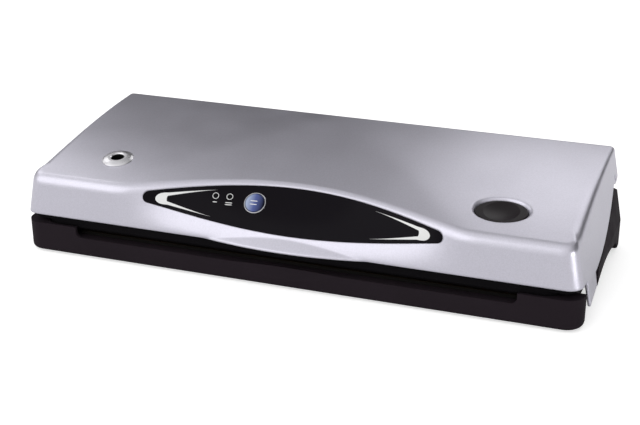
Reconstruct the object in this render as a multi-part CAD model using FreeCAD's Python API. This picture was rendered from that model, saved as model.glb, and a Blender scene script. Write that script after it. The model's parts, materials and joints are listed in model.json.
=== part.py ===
import FreeCAD, Part
import math
import os
from FreeCAD import Vector as V

os.makedirs("parts", exist_ok=True)

# Vacuum sealer in millimetres: X along the width, front toward -Y, Z up from the table.

# Lid form
HALF_W = 201.8          # half width at the lower edge of the lid
FRONT_Y = -73.7         # front face at the lower edge of the lid
REAR_Y = 80.5
EDGE_Z = 30.0           # lower edge of the lid at the front
CREASE_Y, CREASE_Z = -72.5, 58.5    # where the straight front face meets the top
TOP_END_Y, TOP_END_Z = 77.5, 74.6   # rear end of the top curve
TOP_R = 870.0           # radius of the top curve from front to rear
SIDE_DRAFT = 0.186
FRONT_DRAFT = 0.045
WALL = 2.5
CORNER_R = 10.0         # upright front corners of the lid
REAR_CORNER_R = 4.0
CREASE_R = 8.0          # rounding of the crease at the front
REAR_EDGE_R = 3.0       # rounding of the rear edge
LEAST_R = 1.0           # smallest rounding on the inside of the shell
FAR = 230.0             # beyond every side
SKY = 150.0             # beyond the top, the front and the rear
ROOF_Z = 90.0           # top of the drafted block before the top curve is cut
STAGE_Y = -110.0        # front of the drafted block before the front face is cut
FRONT_SWEEP = 80.0      # depth of the space cut away ahead of the front face

# Arched facet and lip at the front of the lid
ARCH_HALF = 124.0       # half span of the arch
ARCH_BLEND = 9.0        # soft ends of the arch
FACET_RISE = 34.5       # height of the facet at the middle
FACET_BACK = 32.6       # how far the facet leans back at the middle
FACET_TOE = 16.0        # keeps the foot of the facet upright
FACET_OVER = 1.3        # the facet runs on above the top by this share
CHIN_HALF = 64.0
CHIN_LIP_Y = -80.5
CHIN_TOP_Y, CHIN_TOP_Z = -68.4, 37.6
CHIN_DEPTH = 12.0
CHIN_ROOT, CHIN_END_H = 1.0, 0.5    # how far the ends of the lip sink into the front, and their height

# Side tabs and side edges of the lid
TAB_FRONT_Y, TAB_REAR_Y = -54.0, -23.0
TAB_LOW_Z, TAB_ROOT_Z = 12.0, 46.0
TAB_FRONT_X, TAB_REAR_X = 205.3, 203.6  # how far the foot of the tab stands out at its two ends
TAB_T = 2.2
TAB_SINK = 0.4          # how far the root of the tab sinks into the side wall
TAB_EDGE_R = 0.9
SIDE_LOW_Z = 25.0
SIDE_MID_Y, SIDE_MID_Z = 20.0, 33.5
SIDE_END_Y, SIDE_END_Z = 61.0, 52.8
REAR_WALL_Z = 60.0
SIDE_GAP = 1.2          # seam between the lid edge and the base wall

# Hinge
HINGE_Y, HINGE_Z = 67.0, 55.5
PIN_R = 2.0
PIN_PLAY = 0.05
PIN_IN_X, PIN_OUT_X = 184.0, 195.6
LUG_IN_X, LUG_OUT_X = 182.0, 190.4
LUG_R = 5.0
LUG_FRONT, LUG_REAR = 8.0, 2.5      # foot of the lug ahead of and behind the hinge axis
EAR_IN_X = 191.0
EAR_R, EAR_L = 4.0, 4.5
UNDER_PIN = 4.3         # lid edge below the hinge axis
HEEL_Y, HEEL_Z = 6.0, -3.3          # lid edge behind the hinge, from its axis
NAPE_Y, NAPE_Z = 11.0, -1.0

# Control panel, lights and seal button
PANEL_X = 1.0           # middle of the panel
PANEL_HALF = 126.5      # where the two edge curves cross, before the tips are rounded
PANEL_TIP_Z = 53.3
PANEL_TOP_Z, PANEL_LOW_Z = 62.3, 38.1
PANEL_TIP_R = 3.8
PANEL_PROUD = 0.4
PANEL_SEAT = 1.4
PANEL_ROOM = 12.0       # depth of the space cut ahead of the panel seat
BORE_HALF = 8.0         # half length of a drill through the lid wall
SEAL_X, SEAL_V = -28.0, 0.583
LIGHT_X, LIGHT_V = (-57.0, -47.0), 0.619
LIGHT_R, LIGHT_L, LIGHT_PROUD, LIGHT_EDGE_R = 1.7, 7.0, 0.6, 0.4
RING_R, RING_BORE, RING_H = 7.9, 7.1, 0.9
RING_SEAT, RING_BEVEL = 0.85, 0.3
SEAL_R, SEAL_EDGE_R = 6.7, 0.6
SEAL_PROUD = 1.3
SEAL_DEEP = 8.5
SEAL_DISH_R, SEAL_DISH_DEEP = 40.0, 0.4
SEAL_STEM_R = 2.0
BOARD_DEEP = 12.0
BOARD_T = 1.6
BOARD_X0, BOARD_X1, BOARD_Y0, BOARD_Y1 = -38.0, 26.0, -11.0, 13.0   # from the middle of the seal button
BOARD_POST_R = 2.5
KEY_HALF, KEY_H, KEY_TIP_R, KEY_TIP_H = 3.0, 2.0, 1.5, 2.5
LAMP_Y, LAMP_R, LAMP_H = 2.0, 1.5, 2.5
SOCKET_X0, SOCKET_X1, SOCKET_Y0, SOCKET_Y1, SOCKET_H = 4.0, 14.0, -8.0, -3.0, 4.0

# Accessory port
PORT_X, PORT_Y = -143.5, -36.5
PORT_R = 11.6
PORT_BORE_R = 4.5
PORT_BORE_L = 12.6
PORT_DOME = 2.0
PORT_MOUTH = 1.0        # rounding of the mouth, and the flat beside it
PORT_FLAT = 1.6
PORT_FLOOR = 2.0        # wall below the blind bore
PORT_NECK_R = 6.8
NUT_R, NUT_T, NUT_PLAY = 10.0, 2.6, 0.1
BARB_R, BARB_BORE = 3.0, 1.8
BARB_UP, BARB_L = 2.0, 17.0         # height of the barb above the floor of the bore, and its length
HOSE_R, HOSE_PLAY = 4.2, 0.05
HOSE_BEND = 14.0
HOSE_START = 9.5
NIPPLE_X = PORT_X + 30.0
LINER_NIPPLE_H = 9.0

# Release button
RELEASE_X, RELEASE_Y = 140.5, -38.0
RELEASE_A, RELEASE_B = 18.0, 14.2   # half axes of the opening
RELEASE_RIM = 1.9                   # chamfer round the opening
RELEASE_GAP = 0.35
RELEASE_LOW = 1.2                   # how deep the button sits
RELEASE_SKIRT_Z, RELEASE_FLANGE_Z = 57.0, 58.6
FLANGE_OUT = 1.6
RELEASE_CUT = 15.0                  # depth of the opening through the lid wall
RELEASE_EDGE_R = 0.8
DISH_R = 46.0
DISH_DEEP = 1.6
STEM_R = 3.0
STEM_PLAY, STEM_ROOM = 0.3, 1.0     # in the guide, and in the hole of the liner
GUIDE_R = 6.0
GUIDE_TOP_Z = 40.0
VALVE_R = 6.6
VALVE_Z = 23.4
VALVE_T = 2.3
VALVE_BEVEL = 0.6
SPRING_R = 4.9          # to the middle of the wire
WIRE_R = 0.5
SPRING_TURNS = 5

# Lid liner
LINER_Z = 26.0
LINER_T = 2.2
LINER_HIGH_Z = 53.0
LINER_PLAY = 0.1
LIP_FRONT_Y, LIP_REAR_Y = -70.2, -65.6
LIP_Z = 20.8
STEP_LOW_Y, STEP_HIGH_Y = -3.5, 2.0
LINER_END_Y = 62.5
LINER_IN_DECK = 1.5     # room between the low part of the liner and the deck wall
LINER_CORNER = 10.0
LINER_SIDE = 4.0        # room between the liner and the lower edge of the lid
HINGE_NOTCH_X, HINGE_NOTCH_HALF, HINGE_NOTCH_Y = 186.5, 7.5, 58.0
GROOVE = 1.2

# Gaskets, chamber and sealing bar
RING_HALF = 165.0
RING_FRONT_Y, RING_REAR_Y = -52.0, -6.0
RING_W = 7.0
RING_CORNER = 14.0
UPPER_GASKET_Z = 19.2
LOWER_GASKET_Z, LOWER_GASKET_TOP = 12.5, 18.6
TROUGH_Z = 9.5
BAR_HALF = 161.0
BAR_FRONT_Y, BAR_REAR_Y = -64.6, -56.6
BAR_TOP_Z = 16.8
STRIP_W, STRIP_T = 3.2, 0.3
TAPE_T = 0.2
PRESS_Z = 20.2
BAR_BEVEL = 0.8
RIB_HALF, RIB_H = 0.4, 0.8          # grooves in the face of the pressure strip
GASKET_R = 1.6

# Base
BASE_Z = 1.5
BASE_TOP = 56.0
BASE_HALF, BASE_HALF_MID, BASE_HALF_TOP = 202.6, 203.0, 197.3   # at the foot, the rim and the top
BASE_FRONT_Y, BASE_REAR_Y = -73.9, 80.4
BASE_DRAFT = 0.024      # lean of the front and rear walls
BASE_R, BASE_REAR_R = 12.0, 12.0
BASE_WALL = 2.8
SKIRT_R = 2.7
RIM_Z = 23.0
DECK_Z = 15.0
DECK_HALF = 188.5
DECK_FRONT_Y, DECK_REAR_Y = -70.9, 3.0
DECK_CORNER = 12.0
TROUGH_R = 2.0
NOTCH_HALF, NOTCH_Z, NOTCH_R = 161.0, 15.6, 4.0
FLOOR_Z = 7.2
PLATE_Z = 5.0
PLATE_HALF = 189.0      # the plate stops short of the side recesses
PLATE_PLAY = 0.2
SHOULDER_Y = 59.0
SHOULDER_END_Z = 40.5
HUMP_HALF, HUMP_Z = 176.0, 48.0
HUMP_FRONT_Y, HUMP_TOP_Y, HUMP_REAR_Y = 4.0, 10.0, 62.0
POCKET_X = 192.0        # side wall behind the finger pockets and the side arches
POCKET_FRONT_Y, POCKET_REAR_Y = -59.0, -17.0
SIDE_ARCH_Z0, SIDE_ARCH_Z = 9.5, 16.3   # side arch at the pocket and at its crown
SIDE_ARCH_Y, SIDE_ARCH_END_Y = 10.0, 66.0
SIDE_ARCH_KNEE_Y, SIDE_ARCH_KNEE_Z = 42.0, 13.2
SIDE_ARCH_BEND = 6.0
SCOOP_R, SCOOP_DEEP = 330.0, 3.6
SCOOP_HALF, SCOOP_LOW, SCOOP_H, SCOOP_FLARE = 90.0, 2.0, 23.0, 1.5
SHOULDER_DROP = 8.0     # further fall of the wall top beyond the rear
WALL_TOP_EASE = 0.9     # wall top below the lid seam at the shoulder
HUMP_CHAMFER_Y, HUMP_CHAMFER_Z = 8.0, 4.0

# Machinery in the base
PUMP_Y, PUMP_Z = 43.0, 26.0
MOTOR_R = 15.0
MOTOR_X0, MOTOR_X1 = -34.0, 24.0
HEAD_X0, HEAD_X1 = 24.0, 66.0
HEAD_Y0, HEAD_Y1 = 25.0, 61.0
BRACKET_T = 2.0
SUCTION_X, SUCTION_Z = 52.0, 10.5
NIPPLE_R, NIPPLE_BORE = 1.8, 1.0
NIPPLE_IN, HOSE_IN = 14.0, 8.0      # ends of the nipple and its hose behind the front of the hump
HOSE_T = 1.4
HEAD_H, HEAD_EDGE_R = 13.0, 3.0     # block above the motor axis
CAP_R, CAP_H = 13.0, 4.0
INLET_L = 6.0
FIN_COUNT, FIN_STEP, FIN_GAP, FIN_DEEP, FIN_LOW = 4, 4.5, 2.0, 2.5, 9.0
MOTOR_EDGE_R, MOTOR_BOSS_R, MOTOR_BOSS_L = 1.5, 5.0, 3.0
TAG_Y, TAG_HALF, TAG_L, TAG_T = 9.0, 1.5, 5.0, 0.8
BRACKET_SIDE, BRACKET_EDGE = 4.0, 2.0
SADDLE_HALF, SADDLE_IN, SADDLE_DROP = 12.0, 8.0, 6.0
CORE_X0, CORE_X1 = -152.0, -94.0
CORE_Y0, CORE_Y1 = 26.0, 60.0
CORE_H = 34.0
LEG = 11.0
YOKE = 7.7
COIL_OUT, COIL_R = 8.0, 5.0
CARD_X0, CARD_X1 = 92.0, 166.0
CARD_Y0, CARD_Y1 = 16.0, 68.0
CARD_Z = 13.0
CARD_POST_IN, CARD_POST_R = 4.0, 3.0
RELAY_X, RELAY_L, RELAY_Y, RELAY_W, RELAY_H = 6.0, 19.0, 14.0, 16.0, 15.0   # from the corner of the card
CAN_X, CAN_Y, CAN_R, CAN_H = 40.0, 32.0, 8.0, 22.0
SINK_X, SINK_L, SINK_Y, SINK_H, SINK_T = 54.0, 14.0, 14.0, 18.0, 2.0
SINK_FINS, SINK_STEP = 5, 5.0
PLUG_X, PLUG_L, PLUG_Y, PLUG_W, PLUG_H = 8.0, 18.0, 41.0, 7.0, 9.0
GLAND_X, GLAND_Z = 122.0, 19.0
GLAND_R, GLAND_NECK_R, GLAND_BORE_R = 8.5, 5.6, 3.6
GLAND_SEAT_Y = 77.0
GLAND_WALL, GLAND_FLANGE_T, GLAND_BEVEL, GLAND_TAPER = 3.0, 2.4, 0.8, 4.0
GLAND_PLAY, GLAND_PAD = 0.5, 14.0
SWITCH_X, SWITCH_Y = 177.5, -34.0
SWITCH_HALF_X, SWITCH_HALF_Y, SWITCH_TOP_Z = 9.9, 5.8, 9.0
SWITCH_ROOM_Z = 12.5    # ceiling of the room above the switch
PLUNGER_R, PLUNGER_FLANGE_R, PLUNGER_FLANGE_T = 1.9, 3.0, 0.8
PLUNGER_PLAY, PLUNGER_TIP_R = 0.3, 1.2
SWITCH_PLAY = 0.1
PLUNGER_TOP_Z = 25.5
FOOT_R, FOOT_BEVEL = 8.0, 1.0
FOOT_SPOTS = [(sx * 170.0, y) for sx in (-1, 1) for y in (-55.0, 62.0)]
SCREW_SPOTS = [(sx * 185.0, y) for sx in (-1, 1) for y in (-48.0, -6.0, 66.0)]
LINER_SPOTS = [(sx * 181.0, y) for sx in (-1, 1) for y in (-60.0, -12.0)]
SCREW_R, HEAD_R, HEAD_T = 1.5, 3.0, 1.8
BASE_SCREW_L, LINER_SCREW_L = 8.0, 11.0
SCREW_END = 0.5         # room beyond the end of a screw
SCREW_POST_R, LINER_POST_R = 4.5, 4.0
PIN_BEVEL = 0.3
TOUCH = 0.1             # tolerance when an edge is picked by its place

X_AXIS = V(1, 0, 0)
Y_AXIS = V(0, 1, 0)
Z_AXIS = V(0, 0, 1)


def box(x0, x1, y0, y1, z0, z1):
    return Part.makeBox(x1 - x0, y1 - y0, z1 - z0, V(x0, y0, z0))


def rod(x, y, z, radius, length, axis=Z_AXIS):
    return Part.makeCylinder(radius, length, V(x, y, z), axis)


def tube(x, y, z, outer, inner, length, axis=Z_AXIS):
    return rod(x, y, z, outer, length, axis).cut(rod(x, y, z, inner, length, axis))


def joined(shapes):
    return shapes[0].multiFuse(shapes[1:]).removeSplitter()


def side_face(x, start, *legs):
    """Flat face at x through (y, z) corners; a leg of two corners is an arc through the first."""
    here = V(x, *start)
    edges = []
    for leg in legs:
        if isinstance(leg[0], tuple):
            end = V(x, *leg[1])
            edges.append(Part.Arc(here, V(x, *leg[0]), end).toShape())
        else:
            end = V(x, *leg)
            edges.append(Part.makeLine(here, end))
        here = end
    edges.append(Part.makeLine(here, V(x, *start)))
    return Part.Face(Part.Wire(edges))


def across(half, start, *legs):
    """Side outline drawn out over the width from -half to half."""
    return side_face(-half, start, *legs).extrude(V(2 * half, 0, 0))


def plan(half, front, rear, r_front, r_rear, z):
    """Rounded rectangle seen from above."""
    c_front, c_rear = r_front * (1 - math.sqrt(0.5)), r_rear * (1 - math.sqrt(0.5))
    fl, fr = V(-half + r_front, front, z), V(half - r_front, front, z)
    rf, rb = V(half, front + r_front, z), V(half, rear - r_rear, z)
    br, bl = V(half - r_rear, rear, z), V(-half + r_rear, rear, z)
    lb, lf = V(-half, rear - r_rear, z), V(-half, front + r_front, z)
    return Part.Wire([
        Part.makeLine(fl, fr),
        Part.Arc(fr, V(half - c_front, front + c_front, z), rf).toShape(),
        Part.makeLine(rf, rb),
        Part.Arc(rb, V(half - c_rear, rear - c_rear, z), br).toShape(),
        Part.makeLine(br, bl),
        Part.Arc(bl, V(-half + c_rear, rear - c_rear, z), lb).toShape(),
        Part.makeLine(lb, lf),
        Part.Arc(lf, V(-half + c_front, front + c_front, z), fl).toShape(),
    ])


def slab(half, front, rear, radius, z0, z1):
    return Part.Face(plan(half, front, rear, radius, radius, z0)).extrude(V(0, 0, z1 - z0))


def ring(z0, z1):
    """Racetrack of the gaskets round the vacuum chamber."""
    outer = slab(RING_HALF, RING_FRONT_Y, RING_REAR_Y, RING_CORNER, z0, z1)
    return outer.cut(slab(RING_HALF - RING_W, RING_FRONT_Y + RING_W, RING_REAR_Y - RING_W,
                          RING_CORNER - RING_W, z0, z1))


def spun(profile):
    """Turned solid about Z from (radius, height) corners."""
    points = [V(r, 0, z) for r, z in profile]
    return Part.Face(Part.makePolygon(points + points[:1])).revolve(V(0, 0, 0), Z_AXIS, 360)


def seated(shape, point, normal):
    """Shape built about the origin, set at point with its Z along normal."""
    placed = shape.copy()
    placed.Placement = FreeCAD.Placement(point, FreeCAD.Rotation(Z_AXIS, normal))
    return placed


def top_centre():
    dy, dz = TOP_END_Y - CREASE_Y, TOP_END_Z - CREASE_Z
    chord = math.hypot(dy, dz)
    drop = math.sqrt(TOP_R ** 2 - chord ** 2 / 4)
    return (CREASE_Y + TOP_END_Y) / 2 + drop * dz / chord, (CREASE_Z + TOP_END_Z) / 2 - drop * dy / chord


TOP_CY, TOP_CZ = top_centre()


def top_z(y, inset=0.0):
    return TOP_CZ + math.sqrt((TOP_R - inset) ** 2 - (y - TOP_CY) ** 2)


def top_normal(y):
    return V(0, y - TOP_CY, top_z(y) - TOP_CZ).normalize()


def front_surface(inset):
    """Front of the lid: upright at the ends and foot, leaning back under the arch in the middle."""
    inner, outer = ARCH_HALF - ARCH_BLEND, ARCH_HALF + ARCH_BLEND
    quarter = (FAR + outer) / 2
    peak = 2 / (1 + (outer - inner) / (outer + inner))
    columns = [(-FAR, 0), (-quarter, 0), (-ARCH_HALF, 0), (0, peak), (ARCH_HALF, 0), (quarter, 0), (FAR, 0)]
    over = FACET_OVER
    foot_z = EDGE_Z + FACET_TOE * over / 2
    head_z = EDGE_Z + FACET_TOE * over + (FACET_RISE - FACET_TOE) * over ** 2
    rows = [(EDGE_Z, 0), (foot_z, 0), (head_z, FACET_BACK * over ** 2)]
    poles = [[V(x, FRONT_Y + inset + FRONT_DRAFT * (z - EDGE_Z) + swell * back, z) for z, back in rows]
             for x, swell in columns]
    surface = Part.BSplineSurface()
    surface.buildFromPolesMultsKnots(poles, [3, 1, 1, 1, 1, 3], [3, 3],
                                     [-FAR, -outer, -inner, inner, outer, FAR], [0, 1], False, False, 2, 2)
    return surface


def front_sheet(inset, depth):
    """Solid between the front surface at inset and the same surface moved by depth along Y."""
    return front_surface(inset).toShape().extrude(V(0, depth, 0))


def facet_spot(x, v):
    """Point of the front surface and its outward normal."""
    surface = front_surface(0.0)
    point = surface.value(x, v)
    normal = surface.normal(x, v)
    return point, normal if normal.z > 0 else normal * -1


def rounded(shape, radii):
    """Fillets with their own radius at each end of each edge, given as (edge, start, end)."""
    document = FreeCAD.newDocument()
    source = document.addObject("Part::Feature", "Source")
    source.Shape = shape
    fillet = document.addObject("Part::Fillet", "Fillet")
    fillet.Base = source
    numbers = {edge.hashCode(): i for i, edge in enumerate(shape.Edges, 1)}
    fillet.Edges = [(numbers[edge.hashCode()], r0, r1) for edge, r0, r1 in radii]
    document.recompute()
    result = fillet.Shape.copy()
    FreeCAD.closeDocument(document.Name)
    return result


def drill(point, normal, radius):
    """Round hole through the lid wall."""
    return seated(rod(0, 0, -BORE_HALF, radius, 2 * BORE_HALF), point, normal)


def upright_edges(shape, y, reach):
    """Steep edges whose place in depth is within reach of y."""
    boxes = [(edge, edge.BoundBox) for edge in shape.Edges]
    steep = [(e, b) for e, b in boxes if b.ZLength > 1.25 * b.XLength and b.ZLength > CORNER_R]
    return [e for e, b in steep if y - reach < b.YMin and b.YMax < y + reach]


def top_radii(shape, inset):
    """Broad rounding along the crease and front corners, tapering along the sides to the rear edge."""
    front_r, rear_r = CREASE_R - inset, max(REAR_EDGE_R - inset, LEAST_R)
    tops = [f for f in shape.Faces if isinstance(f.Surface, Part.Cylinder)]
    top = max(tops, key=lambda f: f.Area)
    radii = []
    for edge in top.OuterWire.Edges:
        bounds = edge.BoundBox
        if bounds.YMin > TOP_END_Y - REAR_CORNER_R - REAR_EDGE_R:
            radii.append((edge, rear_r, rear_r))
        elif bounds.YMax > 0:
            starts_front = edge.valueAt(edge.FirstParameter).y < 0
            radii.append((edge, front_r, rear_r) if starts_front else (edge, rear_r, front_r))
        else:
            radii.append((edge, front_r, front_r))
    return radii


def lid_form(inset, soft=True):
    """Solid lid with drafted sides, curved top and arched front, all set in by inset."""
    low, high, front = TAB_LOW_Z, ROOF_Z, STAGE_Y
    a = HALF_W + SIDE_DRAFT * (EDGE_Z - low) - inset
    b = HALF_W - SIDE_DRAFT * (high - EDGE_Z) - inset
    corners = [V(-a, front, low), V(a, front, low), V(b, front, high), V(-b, front, high)]
    block = Part.Face(Part.makePolygon(corners + corners[:1])).extrude(V(0, REAR_Y - inset - front, 0))
    behind = REAR_Y + CORNER_R
    over = across(FAR, (front, top_z(front, inset)), ((0, top_z(0, inset)), (behind, top_z(behind, inset))),
                  (behind, SKY), (front, SKY))
    body = block.cut(over).cut(front_sheet(inset, -FRONT_SWEEP))
    if not soft:
        return body
    body = body.cut(box(-FAR, FAR, front, TAB_FRONT_Y, 0, EDGE_Z))
    body = body.makeFillet(CORNER_R - inset, upright_edges(body, FRONT_Y, CORNER_R))
    body = body.makeFillet(max(REAR_CORNER_R - inset, LEAST_R), upright_edges(body, REAR_Y, CORNER_R))
    return rounded(body, top_radii(body, inset))


def below_lid_edge():
    """Space under the lower edge of the lid: level at the front, swept up to the hinge at the rear."""
    return across(FAR, (-SKY, EDGE_Z), (TAB_FRONT_Y, EDGE_Z), (TAB_FRONT_Y, SIDE_LOW_Z),
                  (TAB_REAR_Y, SIDE_LOW_Z), ((SIDE_MID_Y, SIDE_MID_Z), (SIDE_END_Y, SIDE_END_Z)),
                  ((HINGE_Y, HINGE_Z - UNDER_PIN), (HINGE_Y + HEEL_Y, HINGE_Z + HEEL_Z)),
                  ((HINGE_Y + NAPE_Y, HINGE_Z + NAPE_Z), (REAR_Y + WALL / 5, REAR_WALL_Z)),
                  (SKY, REAR_WALL_Z), (SKY, -SKY), (-SKY, -SKY))


def chin():
    """Lip that swells forward under the panel, between an arc on the facet and an arc at the edge."""
    low = [V(sx * CHIN_HALF, FRONT_Y + CHIN_ROOT, EDGE_Z) for sx in (-1, 1)]
    high = [V(sx * CHIN_HALF, FRONT_Y + 1.2 * CHIN_ROOT, EDGE_Z + CHIN_END_H) for sx in (-1, 1)]
    lip = Part.Arc(low[0], V(0, CHIN_LIP_Y, EDGE_Z), low[1]).toShape()
    crease = Part.Arc(high[0], V(0, CHIN_TOP_Y, CHIN_TOP_Z), high[1]).toShape()
    return Part.makeRuledSurface(lip, crease).extrude(V(0, CHIN_DEPTH, 0))


def side_tab(sx):
    """Lift tab that flares out of the side wall, more at its front end than at its rear end."""
    root = HALF_W - SIDE_DRAFT * (TAB_ROOT_Z - EDGE_Z)
    ends = []
    for foot, y in ((TAB_FRONT_X, TAB_FRONT_Y), (TAB_REAR_X, TAB_REAR_Y)):
        corners = [(root - TAB_SINK, TAB_ROOT_Z), (foot, TAB_LOW_Z), (foot - TAB_T, TAB_LOW_Z),
                   (root - TAB_T, TAB_ROOT_Z)]
        points = [V(sx * x, y, z) for x, z in corners]
        ends.append(Part.makePolygon(points + points[:1]))
    tab = Part.makeLoft(ends, True, True)
    low = [e for e in tab.Edges if e.BoundBox.ZMax < TAB_LOW_Z + TOUCH and e.BoundBox.YLength > TAB_T]
    return tab.makeFillet(TAB_EDGE_R, low)


def panel_lens():
    """Lens outline of the control panel, as a prism along Y."""
    tips = [V(PANEL_X + sx * PANEL_HALF, -SKY, PANEL_TIP_Z) for sx in (-1, 1)]
    upper = Part.Arc(tips[0], V(PANEL_X, -SKY, PANEL_TOP_Z), tips[1]).toShape()
    lower = Part.Arc(tips[1], V(PANEL_X, -SKY, PANEL_LOW_Z), tips[0]).toShape()
    lens = Part.Face(Part.Wire([upper, lower])).extrude(V(0, SKY, 0))
    return lens.makeFillet(PANEL_TIP_R, [e for e in lens.Edges if e.BoundBox.XLength < TOUCH])


def oval(a, b, z0, z1):
    ellipse = Part.Ellipse(V(RELEASE_X, RELEASE_Y, z0), a, b).toShape()
    return Part.Face(Part.Wire(ellipse)).extrude(V(0, 0, z1 - z0))


def release_mouth():
    """Oval opening of the release button with its chamfered rim."""
    top = top_z(RELEASE_Y)
    slope = top_normal(RELEASE_Y)
    inner = Part.Wire(Part.Ellipse(V(0, 0, -RELEASE_RIM), RELEASE_A, RELEASE_B).toShape())
    outer = Part.Wire(Part.Ellipse(V(0, 0, RELEASE_RIM), RELEASE_A + 2 * RELEASE_RIM,
                                   RELEASE_B + 2 * RELEASE_RIM).toShape())
    rim = seated(Part.makeLoft([inner, outer], True, True), V(RELEASE_X, RELEASE_Y, top), slope)
    return oval(RELEASE_A, RELEASE_B, top - RELEASE_CUT, SKY).fuse(rim)


PORT_AT = V(PORT_X, PORT_Y, top_z(PORT_Y))
PORT_N = top_normal(PORT_Y)
SEAL_AT, SEAL_N = facet_spot(SEAL_X, SEAL_V)
LIGHTS = [facet_spot(x, LIGHT_V) for x in LIGHT_X]
POST_SPOTS = [(x, y) for x in (BOARD_X0 + 2 * BOARD_POST_R, BOARD_X1 - 2 * BOARD_POST_R)
              for y in (BOARD_Y0 + 1.6 * BOARD_POST_R, BOARD_Y1 - 1.6 * BOARD_POST_R)]


def lid_shell():
    shell = lid_form(0.0).fuse(chin()).cut(lid_form(WALL)).cut(below_lid_edge())
    ears = [rod(x, HINGE_Y, HINGE_Z, EAR_R, EAR_L, X_AXIS) for x in (EAR_IN_X, -EAR_IN_X - EAR_L)]
    posts = [rod(x, y, LINER_Z + LINER_T, LINER_POST_R, SKY) for x, y in LINER_SPOTS]
    posts += [seated(rod(x, y, -BOARD_DEEP, BOARD_POST_R, SKY), SEAL_AT, SEAL_N) for x, y in POST_SPOTS]
    core = lid_form(WALL / 3, soft=False)
    posts = [post.common(core) for post in posts]
    shell = joined([shell, side_tab(-1), side_tab(1)] + ears + posts)
    shell = shell.cut(panel_lens().common(front_sheet(-PANEL_ROOM, PANEL_ROOM + PANEL_SEAT)))
    holes = [drill(SEAL_AT, SEAL_N, RING_BORE), drill(PORT_AT, PORT_N, PORT_NECK_R), release_mouth()]
    holes += [drill(point, normal, LIGHT_R) for point, normal in LIGHTS]
    holes += [rod(-FAR, HINGE_Y, HINGE_Z, PIN_R + PIN_PLAY, 2 * FAR, X_AXIS)]
    holes += [rod(x, y, 0, SCREW_R, LINER_Z + LINER_SCREW_L + SCREW_END) for x, y in LINER_SPOTS]
    for hole in holes:
        shell = shell.cut(hole)
    return shell


def control_panel():
    panel = panel_lens().common(front_sheet(-PANEL_PROUD, PANEL_PROUD + PANEL_SEAT))
    panel = panel.cut(drill(SEAL_AT, SEAL_N, RING_R))
    for point, normal in LIGHTS:
        panel = panel.cut(drill(point, normal, LIGHT_R))
    return panel


def button_ring():
    """Thin bevelled ring set into the panel round the seal button."""
    bevel = RING_BEVEL
    profile = [(RING_BORE, -RING_SEAT), (RING_R, -RING_SEAT), (RING_R, RING_H - bevel),
               (RING_R - bevel, RING_H), (RING_BORE + bevel / 2, RING_H), (RING_BORE, RING_H - bevel / 2)]
    return seated(spun(profile), SEAL_AT, SEAL_N)


def seal_button():
    """Round key with a shallow dished face and a stem behind it."""
    face = rod(0, 0, -SEAL_DEEP / 2, SEAL_R, SEAL_DEEP / 2 + SEAL_PROUD)
    face = face.makeFillet(SEAL_EDGE_R, [e for e in face.Edges if e.BoundBox.ZMin > SEAL_PROUD - TOUCH])
    face = face.cut(Part.makeSphere(SEAL_DISH_R, V(0, 0, SEAL_PROUD + SEAL_DISH_R - SEAL_DISH_DEEP)))
    stem = rod(0, 0, -SEAL_DEEP, SEAL_STEM_R, SEAL_DEEP / 2)
    return seated(face.fuse(stem), SEAL_AT, SEAL_N)


def light_pipe(point, normal):
    pipe = rod(0, 0, -LIGHT_L, LIGHT_R, LIGHT_L + LIGHT_PROUD)
    pipe = pipe.makeFillet(LIGHT_EDGE_R, [e for e in pipe.Edges if e.BoundBox.ZMin > 0])
    return seated(pipe, point, normal)


def control_board():
    board = box(BOARD_X0, BOARD_X1, BOARD_Y0, BOARD_Y1, -BOARD_DEEP - BOARD_T, -BOARD_DEEP)
    return seated(board, SEAL_AT, SEAL_N)


def board_parts():
    """Key switch under the button, two lamps and the lead socket."""
    z = -BOARD_DEEP
    key = box(-KEY_HALF, KEY_HALF, -KEY_HALF, KEY_HALF, z, z + KEY_H).fuse(rod(0, 0, z, KEY_TIP_R, KEY_TIP_H))
    lamps = [rod(x - SEAL_X, LAMP_Y, z, LAMP_R, LAMP_H) for x in LIGHT_X]
    socket = box(SOCKET_X0, SOCKET_X1, SOCKET_Y0, SOCKET_Y1, z, z + SOCKET_H)
    return seated(Part.makeCompound([key, socket] + lamps), SEAL_AT, SEAL_N)


def port_fitting():
    """Domed collar with a blind hose bore, a neck through the lid and a barb to one side."""
    mouth, flat = PORT_BORE_R + PORT_MOUTH, PORT_BORE_R + PORT_MOUTH + PORT_FLAT
    dome = [(PORT_BORE_R, PORT_DOME - PORT_MOUTH), (mouth, PORT_DOME), (flat, PORT_DOME)]
    slope = PORT_R - flat
    side = [(flat + 0.6 * slope, 0.62 * PORT_DOME), (flat + 0.92 * slope, 0.25 * PORT_DOME), (PORT_R, 0)]
    floor = PORT_DOME - PORT_BORE_L
    neck = [(PORT_NECK_R, 0), (PORT_NECK_R, floor - PORT_FLOOR), (0, floor - PORT_FLOOR), (0, floor),
            (PORT_BORE_R, floor)]
    fitting = seated(spun(dome + side + neck), PORT_AT, PORT_N)
    start = port_barb_start()
    barb = rod(start.x, start.y, start.z, BARB_R, BARB_L, X_AXIS)
    inside = seated(rod(0, 0, floor, PORT_BORE_R, SKY), PORT_AT, PORT_N)
    return fitting.fuse(barb.cut(inside)).cut(rod(start.x, start.y, start.z, BARB_BORE, BARB_L, X_AXIS))


def port_barb_start():
    return PORT_AT + PORT_N * (PORT_DOME - PORT_BORE_L + BARB_UP)


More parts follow.
